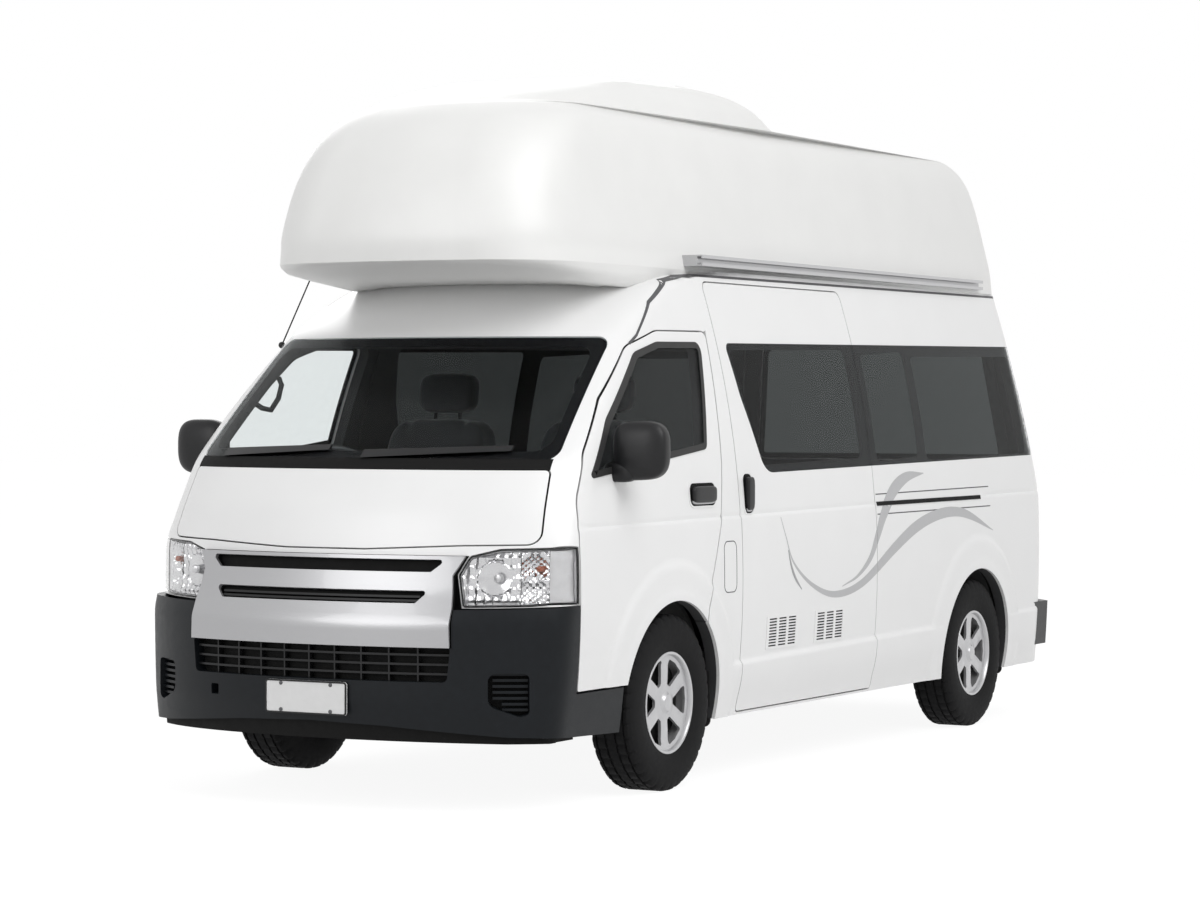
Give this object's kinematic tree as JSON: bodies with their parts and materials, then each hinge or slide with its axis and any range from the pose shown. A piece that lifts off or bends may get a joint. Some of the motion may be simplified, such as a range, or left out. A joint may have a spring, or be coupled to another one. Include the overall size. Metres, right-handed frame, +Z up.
{
  "type": "camper van",
  "caption": "High-roofed camper van with hinged cab doors, bonnet and tailgate, steered front wheels, a sliding side door and a moulded sleeping-loft roof.",
  "frame": {"origin": "on the ground, at the middle of the length and width", "axes": "+X to the vehicle's left, the front faces -Y, +Z up"},
  "size_m": [2.2414, 5.38, 2.862],
  "materials": {
    "white": "gloss",
    "black_plastic": "fine grain",
    "silver_trim": "metallic",
    "trim_grey": "satin",
    "lamp_clear": "clear",
    "lamp_red": "gloss",
    "tinted_glass": "tinted",
    "screen_glass": "clear",
    "alloy": "satin",
    "tyre": "matte",
    "steel": "satin",
    "iron": "rough",
    "exhaust": "dull",
    "seat_cloth": "woven",
    "cabinet": "laminate"
  },
  "bodies": {
    "body": {"floor_pan": "steel", "chassis": "steel", "cab_frame": "white", "front_bulkhead": "steel", "grille": "silver_trim", "front_bumper": "black_plastic", "headlamps": "lamp_clear", "windscreen": "screen_glass", "wipers": "black_plastic", "side_panel_left": "white", "side_panel_right": "white", "sliding_door": "white", "slide_trim": "trim_grey", "side_glass": "tinted_glass", "rear_bumper": "black_plastic", "tail_lamps": "lamp_red", "high_top": "white", "awning_rail": "alloy", "mud_flaps": "black_plastic", "antenna": "black_plastic", "engine": "iron", "fuel_tank": "steel", "exhaust": "exhaust", "front_suspension": "steel", "rear_axle": "steel", "dashboard": "black_plastic", "front_seats": "seat_cloth", "bed_base": "cabinet", "bed_cushion": "seat_cloth", "galley": "cabinet"},
    "bonnet": {"bonnet": "white"},
    "door_left": {"door_left": "white", "door_glass_left": "tinted_glass", "mirror_left": "black_plastic", "door_handle_left": "black_plastic"},
    "door_right": {"door_right": "white", "door_glass_right": "tinted_glass", "mirror_right": "black_plastic", "door_handle_right": "black_plastic"},
    "tailgate": {"tailgate": "white", "tailgate_glass": "tinted_glass"},
    "knuckle_left": {"knuckle_left": "steel"},
    "knuckle_right": {"knuckle_right": "steel"},
    "wheel_front_left": {"tyre_front_left": "tyre", "wheel_front_left": "alloy"},
    "wheel_front_right": {"tyre_front_right": "tyre", "wheel_front_right": "alloy"},
    "wheel_rear_left": {"tyre_rear_left": "tyre", "wheel_rear_left": "alloy"},
    "wheel_rear_right": {"tyre_rear_right": "tyre", "wheel_rear_right": "alloy"},
    "steering_wheel": {"steering_wheel": "black_plastic"}
  },
  "joints": [
    {"name": "bonnet_open", "type": "hinge", "parent": "body", "child": "bonnet", "pos_m": [0, -2.367, 1.283], "axis": [-1, 0, 0], "range_deg": [0, 50]},
    {"name": "door_left_open", "type": "hinge", "parent": "body", "child": "door_left", "pos_m": [0.933, -2.265, 0.775], "axis": [0, 0, -1], "range_deg": [0, 65]},
    {"name": "door_right_open", "type": "hinge", "parent": "body", "child": "door_right", "pos_m": [-0.933, -2.265, 0.775], "axis": [0, 0, 1], "range_deg": [0, 65]},
    {"name": "tailgate_open", "type": "hinge", "parent": "body", "child": "tailgate", "pos_m": [0, 2.486, 2.034], "axis": [1, 0, 0], "range_deg": [0, 85]},
    {"name": "steer_left", "type": "hinge", "parent": "body", "child": "knuckle_left", "pos_m": [0.745, -1.51, 0.345], "axis": [0, 0, 1], "range_deg": [-32, 32]},
    {"name": "steer_right", "type": "hinge", "parent": "body", "child": "knuckle_right", "pos_m": [-0.745, -1.51, 0.345], "axis": [0, 0, 1], "range_deg": [-32, 32]},
    {"name": "steering_turn", "type": "hinge", "parent": "body", "child": "steering_wheel", "pos_m": [-0.36, -1.85, 1.215], "axis": [0, 0.6428, 0.766], "range_deg": [-512, 512]},
    {"name": "wheel_front_left_spin", "type": "hinge", "parent": "knuckle_left", "child": "wheel_front_left", "pos_m": [0.825, -1.51, 0.345], "axis": [1, 0, 0], "continuous": true},
    {"name": "wheel_front_right_spin", "type": "hinge", "parent": "knuckle_right", "child": "wheel_front_right", "pos_m": [-0.825, -1.51, 0.345], "axis": [1, 0, 0], "continuous": true},
    {"name": "wheel_rear_left_spin", "type": "hinge", "parent": "body", "child": "wheel_rear_left", "pos_m": [0.825, 1.6, 0.345], "axis": [1, 0, 0], "continuous": true},
    {"name": "wheel_rear_right_spin", "type": "hinge", "parent": "body", "child": "wheel_rear_right", "pos_m": [-0.825, 1.6, 0.345], "axis": [1, 0, 0], "continuous": true}
  ],
  "couplings": [
    {"joint": "steer_right", "follows": "steer_left", "ratio": 1},
    {"joint": "steering_turn", "follows": "steer_left", "ratio": 16}
  ]
}
